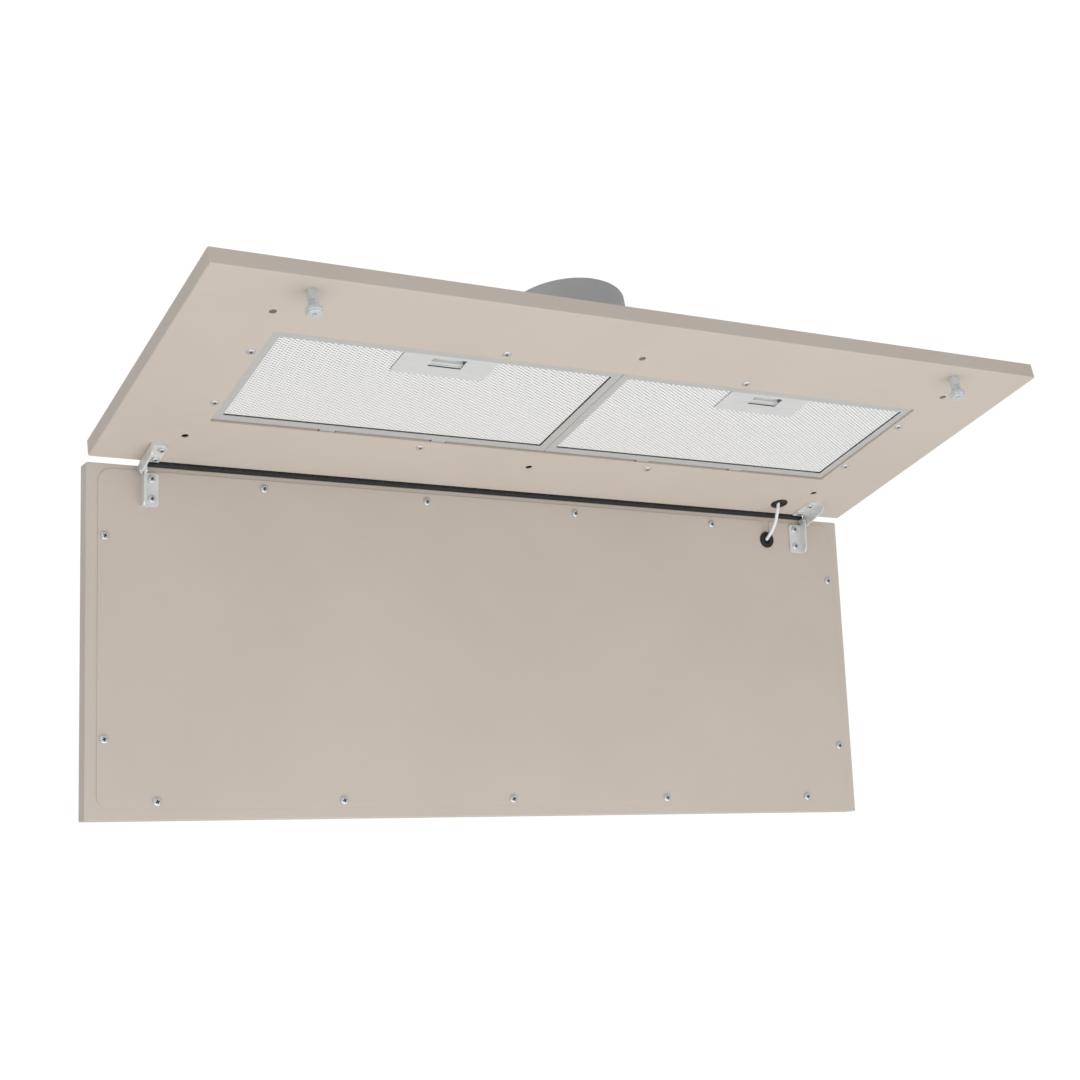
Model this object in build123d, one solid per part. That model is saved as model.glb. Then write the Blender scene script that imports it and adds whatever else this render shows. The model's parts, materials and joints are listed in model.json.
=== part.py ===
from build123d import *
import math
import os

# Under cabinet range hood. Millimetres. +X is the hood's right, +Y its rear, +Z up.
# The origin is the centre of the six cabinet fixing holes, on the tray's underside.
# The flap panel is modelled hanging open.

# Driving dimensions of the tray
width = 900.0
front_y = -174.35
rear_y = 172.35
rim_height = 15.9
sheet = 1.0
fixing_x = 373.0
fixing_y = 115.65
fixing_r = 3.5

# Filter opening in the tray
opening_x = 360.0
opening_y = 84.0
centre_y = -0.85
hem_height = 9.0
hem_front_height = 3.2
hook_clearance = 9.5

# Plenum housing above the tray
housing_x = 363.5
housing_y = 88.5
housing_top = 72.0
flange = 13.0
spigot_r = 62.5
spigot_top = 121.5
spigot_wall = 2.2

# Flap panel: its inner face, seen hanging, leans back by flap_tilt
flap_height = 339.1
flap_thick = 18.5
flap_tilt = 13.8
flap_edge_y = 178.45
flap_edge_z = -2.65
pivot_y = 172.05
pivot_z = -9.1

# Hinges and magnet standoffs
leg_in = 395.0
leg_out = 400.0
plate = 2.0
rivet_r = 3.0
eye_r = 5.2
seal_x = 397.5
standoff_x = 353.5
standoff_y = -155.05
standoff_drop = 23.5

# Grease filters
filter_gap = 0.3
filter_bottom = 1.8
filter_top = 10.3
rail = 9.0
skin = 0.8
handle_x = 181.0
hook_places = (-60, 60)

# Blower
blower_x = -128.0
blower_floor = 20.0
blower_roof = 66.0
impeller_r = 58.0

os.makedirs("parts", exist_ok=True)


def block(x0, x1, y0, y1, z0, z1):
    """Box between two corners."""
    middle = Pos((x0 + x1) / 2, (y0 + y1) / 2, (z0 + z1) / 2)
    return middle * Box(x1 - x0, y1 - y0, z1 - z0)


def post(x, y, z0, z1, r):
    """Upright cylinder."""
    return Pos(x, y, (z0 + z1) / 2) * Cylinder(r, z1 - z0)


def cone(x, y, z0, z1, r0, r1):
    """Upright cone from radius r0 at z0 to r1 at z1."""
    return Pos(x, y, (z0 + z1) / 2) * Cone(r0, r1, z1 - z0)


def tube(x, y, z0, z1, r_out, r_in):
    """Upright tube."""
    return post(x, y, z0, z1, r_out) - post(x, y, z0 - 1, z1 + 1, r_in)


def lying(x0, x1, y, z, r):
    """Cylinder along X."""
    return Pos((x0 + x1) / 2, y, z) * Rot(0, 90, 0) * Cylinder(r, x1 - x0)


def rounded(shape, axis, radius, top=None):
    """Fillets the shape's edges that run along an axis."""
    edges = shape.edges().filter_by(axis)
    return fillet(edges if top is None else top(edges), radius)


def cut(shape, tools):
    """The shape less every tool."""
    for tool in tools:
        shape = shape - tool
    return shape


def fused(pieces):
    """One solid from pieces that overlap."""
    whole = pieces[0]
    for piece in pieces[1:]:
        whole = whole + piece
    return whole


def save(name, *shapes):
    """Writes a node, one solid or a group of separate solids."""
    solids = [s for shape in shapes for s in shape.solids()]
    node = solids[0] if len(solids) == 1 else Compound(children=solids)
    export_step(node, f"parts/{name}.step")


def corners(x, y, cx=0.0, cy=0.0):
    """The four corners of a rectangle about a centre."""
    return [(cx + sx * x, cy + sy * y) for sx in (-1, 1) for sy in (-1, 1)]


# Places that several pieces share
fixing_holes = corners(fixing_x, fixing_y) + [(0.0, -fixing_y), (0.0, fixing_y)]
housing_screws = corners(367.5, 47.5, 0, 0.3) + corners(135.3, 95.0, 0, 0.65)
bracket_holes = [(s * 387.0, y) for s in (-1, 1) for y in (143.2, 162.9)]
grommet_x = 346.0
grommet_y = 146.65
hang = Pos(0, flap_edge_y, flap_edge_z) * Rot(flap_tilt, 0, 0)


# --- tray ---------------------------------------------------------------------

def opening_hem():
    """Edge of the filter opening, folded up; low at the front, notched for the filters' hooks."""
    y0, y1 = centre_y - opening_y, centre_y + opening_y
    x = opening_x + sheet
    hem = rounded(block(-x, x, y0 - sheet, y1 + sheet, sheet / 2, hem_height), Axis.Z, 2.5)
    hem = hem - rounded(block(-opening_x, opening_x, y0, y1, 0, 10), Axis.Z, 1.5)
    hem = hem - block(-x - 1, x + 1, y0 - 2, y0 + 3, hem_front_height, 10)
    hooks = [side * handle_x + hook for side in (-1, 1) for hook in hook_places]
    half = hook_clearance
    return cut(hem, [block(x - half, x + half, y1 - 1, y1 + 3, sheet, 10) for x in hooks])


def base_tray():
    """Folded sheet pan that closes the cabinet's underside, with the filter opening."""
    pan = block(-width / 2, width / 2, front_y, rear_y, 0, rim_height)
    pan = rounded(pan, Axis.Z, 1.5)
    pan = fillet(pan.faces().sort_by(Axis.Z)[0].edges(), 1.4)
    w = width / 2 - sheet
    pan = pan - block(-w, w, front_y + sheet, rear_y - sheet, sheet, rim_height + 1)
    gap = block(-opening_x, opening_x, centre_y - opening_y, centre_y + opening_y, -1, 3)
    pan = (pan - rounded(gap, Axis.Z, 1.5)) + opening_hem()
    pan = cut(pan, [post(x, y, -1, 3, fixing_r) for x, y in fixing_holes])
    pan = cut(pan, [cone(x, y, 0, sheet, 4.1, 3.1) for x, y in housing_screws])
    pan = cut(pan, [post(x, y, -1, 3, 2.1) for x, y in bracket_holes])
    pan = cut(pan, [post(s * standoff_x, standoff_y, -1, 3, 2.6) for s in (-1, 1)])
    return pan - post(grommet_x, grommet_y, -1, 3, 7.6)


def hole_caps():
    """Blind caps over the fixing holes, on the tray's upper side."""
    return [
        tube(x, y, sheet, 8, 6.0, 4.2) + post(x, y, 8, 9.2, 6.0)
        for x, y in fixing_holes
    ]


def grommet(x, y, lip_r, wall):
    """Snap-in cable grommet, its lip under z = 0 and its back ring above a wall that thick."""
    lip = post(x, y, -1.8, 0, lip_r)
    lip = fillet(lip.edges().group_by(Axis.Z)[0], 1.2)
    neck = post(x, y, -0.5, wall + 2.2, 7.5)
    back = post(x, y, wall, wall + 2.2, lip_r - 0.9)
    return (lip + neck + back) - post(x, y, -5, wall + 5, 4.1)


def rear_seal():
    """Rubber lip along the tray's rear edge, between the hinges, ribbed underneath."""
    profile = [
        (0, 7), (2.2, 7), (2.2, 5.8), (4.4, 5.4), (4.4, 4.4), (2.8, 3.6), (5.4, 0.6),
        (5.4, -3.4), (4.2, -3.4), (3.8, -2.6), (3.0, -2.6),
        (2.6, -3.4), (1.4, -3.4), (1.0, -2.6), (0, -2.6),
    ]
    points = [(-seal_x, rear_y + y, z) for y, z in profile]
    return extrude(make_face(Polyline(*points, close=True)), 2 * seal_x, dir=(1, 0, 0))


# --- housing ------------------------------------------------------------------

def plenum_housing():
    """Folded sheet box open at the bottom, flanged onto the tray."""
    y0, y1 = centre_y - housing_y, centre_y + housing_y
    shell = block(-housing_x, housing_x, y0, y1, sheet, housing_top)
    shell = rounded(shell, Axis.Z, 3)
    shell = fillet(shell.faces().sort_by(Axis.Z)[-1].edges(), 2)
    foot = block(-housing_x - flange, housing_x + flange, y0 - flange, y1 + flange, sheet, 2 * sheet)
    shell = shell + rounded(foot, Axis.Z, 4)
    x = housing_x - sheet
    room = block(-x, x, y0 + sheet, y1 - sheet, 0, housing_top - sheet)
    shell = shell - rounded(room, Axis.Z, 2)
    shell = cut(shell, [cone(x, y, sheet, 2 * sheet, 3.1, 2.1) for x, y in housing_screws])
    shell = shell - post(0, centre_y, 60, 80, spigot_r - 2.0)
    shell = cut(shell, [post(x, y, 60, 80, 1.6) for x, y in spigot_fixings])
    shell = cut(shell, [post(x, y, 60, 80, 1.6) for x, y in blower_fixings])
    for x, z, r in ((grommet_x - 3, 31, 6.1), (290, 46, 8.1)):
        shell = shell - Pos(x, y1, z) * Rot(90, 0, 0) * Cylinder(r, 10)
    return shell


def flush_screw(x, y):
    """Countersunk housing screw: slightly domed head below, shank up into its nut."""
    head = cone(x, y, 0, 2, 4.0, 2.0)
    dome = Pos(x, y, 0) * Rot(180, 0, 0) * Pos(0, 0, -6.9) * Sphere(8.0)
    dome = dome & block(x - 5, x + 5, y - 5, y + 5, -1.2, 0)
    shank = post(x, y, 1.5, 9, 2.0)
    recess = post(x, y, -2, 0.9, 1.1)
    return (head + dome + shank) - recess


def hex_nut(x, y):
    """Weld nut on the housing's flange."""
    body = Pos(x, y, 2 * sheet) * extrude(RegularPolygon(4.0, 6), 3.2)
    return body - post(x, y, 0, 9, 2.05)


def duct_spigot():
    """Moulded duct collar with a rounded rim, a seat for the damper and spindle bosses."""
    z = housing_top
    wall = tube(0, centre_y, z, spigot_top, spigot_r, spigot_r - spigot_wall)
    wall = fillet(wall.edges().group_by(Axis.Z)[-1], 0.9)
    foot = tube(0, centre_y, z, z + 2.5, spigot_r + 12, spigot_r - spigot_wall)
    seat = tube(0, centre_y, z + 5.4, z + 6.8, spigot_r - 1, spigot_r - 5.2)
    collar = wall + foot + seat
    collar = cut(collar, [post(x, y, z - 1, z + 4, 1.7) for x, y in spigot_fixings])
    for side in (-1, 1):
        y = centre_y + side * (spigot_r - 3.2)
        collar = collar + block(-4, 4, y - 2.2, y + 2.2, z + 5.4, damper_z + 3.2)
    bore = Pos(0, centre_y, damper_z) * Rot(90, 0, 0) * Cylinder(1.55, 2 * spigot_r - 3)
    return collar - bore


damper_z = housing_top + 9.0
damper_reach = 56.2
spigot_fixings = [
    (68.5 * math.cos(math.radians(a)), centre_y + 68.5 * math.sin(math.radians(a)))
    for a in (45, 135, 225, 315)
]


def scroll_r(angle):
    """Inner radius of the blower's spiral wall, which opens out from -54 to 270 degrees."""
    return 62.5 + 21.5 * (angle + 54) / 324


def round_blower(angle, r):
    """Point at an angle and a radius about the blower's axis."""
    turn = math.radians(angle)
    return blower_x + r * math.cos(turn), centre_y + r * math.sin(turn)


blower_fixings = [round_blower(a, scroll_r(a) + 4.6) for a in (50, 138, 222)]
motor_fixings = [round_blower(a, 20) for a in (90, 210, 330)]


def pan_screw(x, y, z, head_r, head_h, shank_r, length):
    """Pan head screw with its head above z, shank down."""
    head = post(x, y, z, z + head_h, head_r)
    head = fillet(head.edges().group_by(Axis.Z)[-1], head_h * 0.55)
    return (head + post(x, y, z - length, z + 0.2, shank_r)) - post(x, y, z + 0.8, z + 5, 1.1)


def damper_spindle():
    """Steel pin that both damper flaps swing on."""
    return Pos(0, centre_y, damper_z) * Rot(90, 0, 0) * Cylinder(1.5, 2 * spigot_r - 4)


def damper_flap(side):
    """Half disc with knuckles round the spindle; side is -1 for left, 1 for right."""
    disc = post(0, centre_y, damper_z - 2.0, damper_z - 0.8, spigot_r - 3.6)
    y0, y1 = centre_y - damper_reach, centre_y + damper_reach
    half = disc & block(*sorted((side, side * spigot_r)), y0, y1, 0, 200)
    own, other = ((-44, -8, 28), (-26, 10)) if side < 0 else ((-26, 10), (-44, -8, 28))
    for start in other:
        y = centre_y + start
        half = half - block(-3.6, 3.6, y - 0.6, y + 16.6, damper_z - 4, damper_z + 4)
    for start in own:
        y = centre_y + start
        knuckle = Pos(0, y + 8, damper_z) * Rot(90, 0, 0) * Cylinder(2.8, 16)
        web = block(*sorted((0.0, side * 5)), y, y + 16, damper_z - 2.0, damper_z - 0.8)
        half = half + knuckle + web
    return half - Pos(0, centre_y, damper_z) * Rot(90, 0, 0) * Cylinder(1.56, 130)


# --- blower -------------------------------------------------------------------

def scroll_face(grow):
    """Spiral outline of the blower, enlarged outward by grow, with its outlet towards +X."""
    points = [round_blower(a, scroll_r(a) + grow) for a in range(-54, 271, 27)]
    mouth = blower_x + 66.0
    start, end = points[0], points[-1]
    lower = Line(end, (mouth, end[1]))
    side = Line((mouth, end[1]), (mouth, start[1]))
    upper = Line((mouth, start[1]), start)
    return make_face([Spline(*points), lower, side, upper])


def blower_casing():
    """Floor and spiral wall of the blower, with a flared inlet."""
    deep = blower_roof - blower_floor
    outer = Pos(0, 0, blower_floor) * extrude(scroll_face(1.2), deep)
    inner = Pos(0, 0, blower_floor + 1.2) * extrude(scroll_face(0), deep)
    mouth = blower_x + 62
    open_end = block(mouth, mouth + 8, centre_y - 83.5, centre_y - 52.5, blower_floor + 1.2, blower_roof)
    casing = (outer - inner) - open_end
    flare = tube(blower_x, centre_y, blower_floor - 3, blower_floor + 1.2, 47.5, 45.5)
    mouth = post(blower_x, centre_y, blower_floor - 4, blower_floor + 3, 45.5)
    casing = (casing - mouth) + flare
    for x, y in blower_fixings:
        ear = tube(x, y, blower_roof - 12, blower_roof + 4.9, 4.5, 1.6)
        casing = casing + (ear - Pos(0, 0, blower_floor + 1.2) * extrude(scroll_face(0), 100))
    return casing


def blower_cover():
    """Lid of the blower casing; the motor hangs under it."""
    lid = Pos(0, 0, blower_roof) * extrude(scroll_face(1.0), 1.2)
    lid = cut(lid, [post(x, y, 60, 80, 4.7) for x, y in blower_fixings])
    lid = cut(lid, [post(x, y, 60, 80, 1.7) for x, y in motor_fixings])
    return lid - post(blower_x, centre_y, 60, 80, 9)


def outlet_box():
    """Turning box that takes the blower's air up into the spigot."""
    x0, x1 = blower_x + 67.6, 68.0
    y0, y1 = centre_y - 85.4, centre_y + 66.0
    shell = block(x0, x1, y0, y1, blower_floor, housing_top - sheet)
    shell = rounded(shell, Axis.Z, 5)
    room = block(x0 + 1.2, x1 - 1.2, y0 + 1.2, y1 - 1.2, blower_floor + 1.2, housing_top)
    window = block(x0 - 1, x0 + 2, centre_y - 83.5, centre_y - 52.5, blower_floor + 1.2, blower_roof)
    return shell - rounded(room, Axis.Z, 4) - window


def motor():
    """Motor can with a bearing bore for its shaft."""
    can = fillet(post(blower_x, centre_y, 44, blower_roof, 30).edges().group_by(Axis.Z)[0], 3)
    can = can - post(blower_x, centre_y, 40, 58, 3.05)
    return cut(can, [post(x, y, 58, 70, 1.4) for x, y in motor_fixings])


def impeller():
    """Single inlet wheel: dished back plate round the motor, curved blades and a rim ring."""
    x, y = blower_x, centre_y
    hub = tube(x, y, 33, 42.5, 8, rivet_r) + tube(x, y, 38, 39.6, 35.2, rivet_r)
    dish = tube(x, y, 38, 61.6, 35.2, 34) + tube(x, y, 60.2, 61.6, impeller_r, 34)
    ring = tube(x, y, 24, 25.6, impeller_r, 47)
    wheel = hub + dish + ring
    inner, outer = 47.5, impeller_r - 0.4
    lead = math.radians(9)
    for step in range(30):
        turn = math.radians(step * 12)
        tips = []
        for r, shift in ((inner, 0), ((inner + outer) / 2, lead * 0.25), (outer, lead)):
            a = turn + shift
            tips.append(Vector(x + r * math.cos(a), y + r * math.sin(a), 25))
        path = ThreePointArc(*tips)
        blade = extrude(trace(path, 1.0), 36)
        wheel = wheel + blade
    return wheel


def motor_shaft():
    """Shaft pressed into the impeller's hub and running in the motor."""
    return post(blower_x, centre_y, 31, 57, rivet_r)


# --- electrical parts ----------------------------------------------------------

def run_capacitor():
    """Motor capacitor hanging from the housing's roof."""
    can = post(-300, 40, 22, 66, 15)
    can = fillet(can.edges().group_by(Axis.Z)[0], 2)
    stud = post(-300, 40, 66, housing_top - sheet, 4)
    tabs = block(-306, -305, 37, 43, 15, 22.5) + block(-295, -294, 37, 43, 15, 22.5)
    return can + stud + tabs


def control_box():
    """Plastic box for the electronics, open below, fixed under the housing's roof."""
    shell = block(180, 320, -60, 40, 32, housing_top - sheet)
    shell = rounded(shell, Axis.Z, 4)
    room = block(182, 318, -58, 38, 20, housing_top - 3)
    bosses = [post(x, y, 32, 69, 4) for x, y in lid_fixings]
    shell = fused([shell - rounded(room, Axis.Z, 2)] + bosses)
    return cut(shell, [post(x, y, 30, 42, 1.4) for x, y in lid_fixings])


lid_fixings = corners(63, 43, 250, -10)


def control_box_lid():
    """Lid of the control box with its cable notch."""
    lid = rounded(block(180, 320, -60, 40, 30, 31.9), Axis.Z, 4)
    lid = cut(lid, [post(x, y, 28, 34, 1.8) for x, y in lid_fixings])
    return lid - block(296, 306, 30, 41, 28, 34)


def control_board():
    """Circuit board with its transformer, relays and capacitors."""
    board = block(190, 300, -48, 28, 58, 59.6)
    carried = [
        block(196, 236, -40, -6, 38, 57.9),
        block(246, 262, -40, -28, 44, 57.9),
        block(246, 262, -22, -10, 44, 57.9),
        post(208, 14, 40, 57.9, 6),
        post(226, 14, 44, 57.9, 4.5),
        block(250, 276, 4, 24, 50, 57.9),
    ]
    return [board] + carried


def terminal_block():
    """Six way screw terminal strip."""
    strip = block(282, 296, -44, 16, 46, 57.9)
    ways = [post(289, -39 + 10 * n, 45, 50, 2.6) for n in range(6)]
    return cut(strip, ways)


def gland(x, z, r_neck, r_nut, bore):
    """Cable gland through the housing's rear wall, its mouth towards +Y."""
    wall = centre_y + housing_y
    turned = Rot(-90, 0, 0)
    nut = Pos(x, wall, z) * turned * extrude(RegularPolygon(r_nut, 6), 4)
    mouth = Pos(x, wall + 4, z) * turned * extrude(Circle(r_neck), 5)
    mouth = fillet(mouth.edges().group_by(Axis.Y)[-1], 1.2)
    neck = Pos(x, wall - 6, z) * turned * extrude(Circle(r_neck - 0.1), 7)
    back = Pos(x, wall - 4.6, z) * turned * extrude(RegularPolygon(r_nut, 6), 3.4)
    whole = nut + mouth + neck + back
    return whole - Pos(x, wall - 20, z) * turned * extrude(Circle(bore), 60)


def cable_route():
    """The flap cable's corner points: gland, base grommet, flap grommet."""
    x = grommet_x
    return [
        (x - 3, centre_y + housing_y - 3, 31),
        (x - 3, 127.5, 31),
        (x, 151.5, -7.0),
        (x + 1, 167.0, -23.5),
        (x + 1, 184.0, -28.6),
    ]


def flap_cable():
    """Cable from the housing's gland through the base grommet to the flap grommet."""
    points = [Vector(*p) for p in cable_route()]
    runs = [b - a for a, b in zip(points, points[1:])]
    radii = []
    for a, b in zip(runs, runs[1:]):
        half = math.radians(a.get_angle(b)) / 2
        radii.append(0.45 * min(a.length, b.length) / math.tan(half))
    path = FilletPolyline(*points, radius=radii)
    start = Plane(origin=points[0], z_dir=runs[0])
    solid = sweep(start * Circle(cable_r), path=path)
    section = math.pi * cable_r**2 * path.length
    print("cable radii", [round(r, 1) for r in radii], "length", round(path.length, 1))
    print("cable volume", round(solid.volume, 1), "section times length", round(section, 1))
    return solid


cable_r = 1.9


# --- hinges and standoffs --------------------------------------------------------

def base_bracket(side):
    """L bracket under the tray: flange with two screws, leg down to the pivot eye."""
    far = 400.0
    flat = [
        (far, 134.65), (386.0, 134.65), (381.5, 141.0), (381.5, rear_y - 2.6), (far, rear_y - 2.6),
    ]
    flange_plate = extrude(make_face(Polyline(*flat, close=True)), -plate)
    flange_plate = cut(flange_plate, [post(387.0, y, -5, 1, 2.1) for y in (143.2, 162.9)])
    leg_outline = [
        (134.65, 0.0), (rear_y - 2.6, 0.0), (pivot_y + eye_r * 0.9, pivot_z + eye_r * 0.45),
        (pivot_y, pivot_z - eye_r), (134.65 + 3.0, -10.7), (134.65, -7.0),
    ]
    leg = Plane.YZ * make_face(Polyline(*leg_outline, close=True))
    leg = Pos(far - plate, 0, 0) * extrude(leg, plate)
    leg = leg + lying(far - plate, far, pivot_y, pivot_z, eye_r)
    bracket = (flange_plate + leg) - lying(390, 410, pivot_y, pivot_z, rivet_r)
    bracket = fillet(bracket.edges().filter_by(Axis.Y).sort_by_distance((far, 150, 0))[0], 1.6)
    return bracket if side > 0 else mirror(bracket, about=Plane.YZ)


def pivot_in_flap():
    """The pivot's place in the flap's own frame."""
    lean = math.radians(flap_tilt)
    dy, dz = pivot_y - flap_edge_y, pivot_z - flap_edge_z
    return dy * math.cos(lean) + dz * math.sin(lean), dz * math.cos(lean) - dy * math.sin(lean)


def flap_bracket(side):
    """L bracket on the flap's inner face, in the flap's own frame, eye on the pivot."""
    inner, outer = 379.5, leg_in + plate
    eye_y, eye_z = pivot_in_flap()
    top, bottom = -7.0, -40.0
    flat = block(inner, outer, -skin - plate, -skin, bottom, top)
    flat = fillet(flat.edges().filter_by(Axis.Y).sort_by(Axis.X)[:2], 3)
    flat = cut(flat, [
        Pos(386.5, 0, z) * Rot(90, 0, 0) * Cylinder(2.1, 20) for z in flap_screw_z
    ])
    outline = [
        (-skin, bottom), (-skin, top), (eye_y + eye_r * 0.92, eye_z + eye_r * 0.39),
        (eye_y - eye_r, eye_z), (-11.6, bottom + 4.0), (-8.6, bottom),
    ]
    leg = Pos(leg_in, 0, 0) * extrude(Plane.YZ * make_face(Polyline(*outline, close=True)), plate)
    leg = leg + lying(leg_in, outer, eye_y, eye_z, eye_r)
    bracket = (flat + leg) - lying(390, 410, eye_y, eye_z, rivet_r + 0.05)
    return bracket if side > 0 else mirror(bracket, about=Plane.YZ)


flap_screw_z = (-12.7, -32.3)


def rivet(side):
    """Hinge rivet with a hollow head on each side of the two legs."""
    ends = sorted((side * (leg_in - 0.2), side * (leg_out + 0.1)))
    shank = lying(ends[0] - 0.5, ends[1] + 0.5, pivot_y, pivot_z, rivet_r)
    heads = []
    for x, out in ((leg_in - 0.3, -1), (leg_out + 0.02, 1)):
        head = lying(*sorted((side * x, side * (x + out * 1.6))), pivot_y, pivot_z, 4.5)
        heads.append(head)
    whole = fused([shank] + heads)
    hollow = lying(-1, 1, pivot_y, pivot_z, 1.7)
    inner = Pos(side * (leg_in - 1.9), 0, 0) * hollow
    outer = Pos(side * (leg_out + 1.7), 0, 0) * hollow
    return whole - inner - outer


def under_screw(x, y, z, head_r, head_h, length):
    """Pan head screw whose head hangs below z, shank up."""
    return Pos(x, y, z) * Rot(180, 0, 0) * pan_screw(0, 0, 0, head_r, head_h, 2.0, length)


def standoff(side):
    """Hexagonal pillar with a threaded spigot through the tray and a flat near its foot."""
    x = side * standoff_x
    pillar = Pos(x, standoff_y, -17.5) * extrude(RegularPolygon(5.2, 6), 17.5)
    spigot = post(x, standoff_y, -0.5, 6, 2.5)
    nut = Pos(x, standoff_y, sheet) * extrude(RegularPolygon(4.6, 6), 3)
    return (pillar + spigot + nut) - post(x, standoff_y, -18, -8, 1.6)


def magnet_cup(side):
    """Steel cup that holds a ring magnet, open downwards."""
    x = side * standoff_x
    cup = post(x, standoff_y, -standoff_drop, -17.5, 7.8)
    cup = fillet(cup.edges().group_by(Axis.Z)[-1], 0.8)
    well = post(x, standoff_y, -standoff_drop - 1, -19.0, 6.6)
    return cup - well - post(x, standoff_y, -25, -15, 1.7)


def magnet(side):
    """Ring magnet in its cup."""
    ring = tube(side * standoff_x, standoff_y, -standoff_drop + 0.2, -19.0, 6.5, 2.6)
    return ring


def magnet_screw(side):
    """Screw through the magnet cup into the pillar."""
    x = side * standoff_x
    return post(x, standoff_y, -21.4, -19.0, 2.5) + post(x, standoff_y, -19.1, -9, 1.55)


# --- flap -----------------------------------------------------------------------

def flap_block(x0, x1, s0, s1, d0, d1):
    """Box in the flap's own frame: s runs down from its top edge, d outward from its inner face."""
    return block(x0, x1, d0, d1, -s1, -s0)


def flap_panel():
    """Folded outer skin of the flap with return flanges on the inner side."""
    w = width / 2
    skin_box = flap_block(-w, w, 0, flap_height, 0, flap_thick)
    skin_box = rounded(skin_box, Axis.Y, 1.5)
    skin_box = fillet(skin_box.faces().sort_by(Axis.Y)[-1].edges(), 1.3)
    skin_box = fillet(skin_box.faces().sort_by(Axis.Y)[0].edges(), 0.8)
    room = flap_block(-w + sheet, w - sheet, sheet, flap_height - sheet, sheet, flap_thick - sheet)
    mouth = flap_block(-w + 26, w - 26, 42, flap_height - 26, -1, 2)
    panel = skin_box - room - rounded(mouth, Axis.Y, 8)
    panel = cut(panel, [across(x, s, -1, 3, 1.85) for x, s in cover_holes])
    panel = cut(panel, [across(s * 386.5, -z, -1, 3, 2.1) for s in (-1, 1) for z in flap_screw_z])
    panel = panel - across(grommet_x + 1, 27, -1, 3, 7.6)
    panel = panel - flap_block(-led_x, led_x, led_s - 5.5, led_s + 5.5, 15, 20)
    return panel - flap_block(-touch_x, touch_x, touch_s - 10, touch_s + 10, 15, 20)


def across(x, s, d0, d1, r):
    """Cylinder square to the flap, between depths d0 and d1."""
    return Pos(x, (d0 + d1) / 2, -s) * Rot(90, 0, 0) * Cylinder(r, d1 - d0)


cover_holes = (
    [(x, 13.5) for x in (-270.5, -90.0, 90.0, 270.5)]
    + [(x, s) for x in (-432.0, 432.0) for s in (71.0, 264.0)]
    + [(x, 322.0) for x in (-381.0, -190.5, 0.0, 190.5, 381.0)]
)
led_x, led_s = 300.0, 292.0
touch_x, touch_s = 60.0, 322.0


def flap_cover():
    """Inner cover sheet, screwed round its edge, with a cable notch at the top."""
    sheet_box = flap_block(-438.5, 438.5, 5, 329, -skin, 0)
    sheet_box = rounded(sheet_box, Axis.Y, 13)
    x = grommet_x + 1
    notch = flap_block(x - 4.6, x + 4.6, 0, 27, -2, 1) + across(x, 27, -2, 1, 8.2)
    sheet_box = sheet_box - notch
    sheet_box = cut(sheet_box, [across(x, s, -2, 1, 1.85) for x, s in cover_holes])
    return cut(sheet_box, [across(s * 386.5, -z, -2, 1, 2.1) for s in (-1, 1) for z in flap_screw_z])


def cover_screw(x, s):
    """Pan head screw in the cover sheet, in the flap's frame."""
    screw = pan_screw(0, 0, 0, 4.2, 2.2, 1.75, 6)
    return Pos(x, -skin, -s) * Rot(90, 0, 0) * screw


def bracket_screw(side, z):
    """Screw that holds a flap bracket, in the flap's frame."""
    screw = pan_screw(0, 0, 0, 4.0, 1.8, 2.0, 9)
    return Pos(side * 386.5, -skin - plate, z) * Rot(90, 0, 0) * screw


def flap_grommet():
    """Cable grommet in the flap, in the flap's frame."""
    flat = grommet(0, 0, 9.3, skin + sheet)
    return Pos(grommet_x + 1, -skin, -27) * Rot(-90, 0, 0) * flat


def stiffener(x):
    """Hat shaped stiffener between the flap's two skins."""
    hat = flap_block(x - 20, x + 20, 44, 276, 1.2, flap_thick - sheet)
    return hat - flap_block(x - 19, x + 19, 43, 277, 2.2, flap_thick - sheet + 1)


def led_holder():
    """Aluminium channel behind the light strip."""
    body = flap_block(-led_x - 4, led_x + 4, led_s - 8, led_s + 8, 10, flap_thick - sheet)
    body = body - flap_block(-led_x - 2, led_x + 2, led_s - 6.2, led_s + 6.2, 11.2, 30)
    return body


def led_lens():
    """Light strip's diffuser, flush with the flap's outer face."""
    lens = flap_block(-led_x + 0.2, led_x - 0.2, led_s - 5.3, led_s + 5.3, 15.2, flap_thick + 0.3)
    return rounded(lens, Axis.Y, 1.5)


def touch_glass():
    """Glass touch control, flush with the flap's outer face, and its board behind."""
    glass = flap_block(-touch_x + 0.2, touch_x - 0.2, touch_s - 9.8, touch_s + 9.8, 16.2, flap_thick + 0.2)
    board = flap_block(-touch_x - 4, touch_x + 4, touch_s - 12, touch_s + 12, 12, 13.6)
    return [rounded(glass, Axis.Y, 2), board]


# --- grease filters ---------------------------------------------------------------

def filter_bounds(side):
    """Outer x range of one filter; side is -1 for left, 1 for right."""
    a, b = filter_gap, opening_x - filter_gap
    return (-b, -a) if side < 0 else (a, b)


filter_y0 = centre_y - opening_y + 1.5
filter_y1 = centre_y + opening_y - 1.5
handle_y0 = filter_y0 + rail + 0.1
tilt_y, tilt_z = 82.3, 3.2


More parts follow.
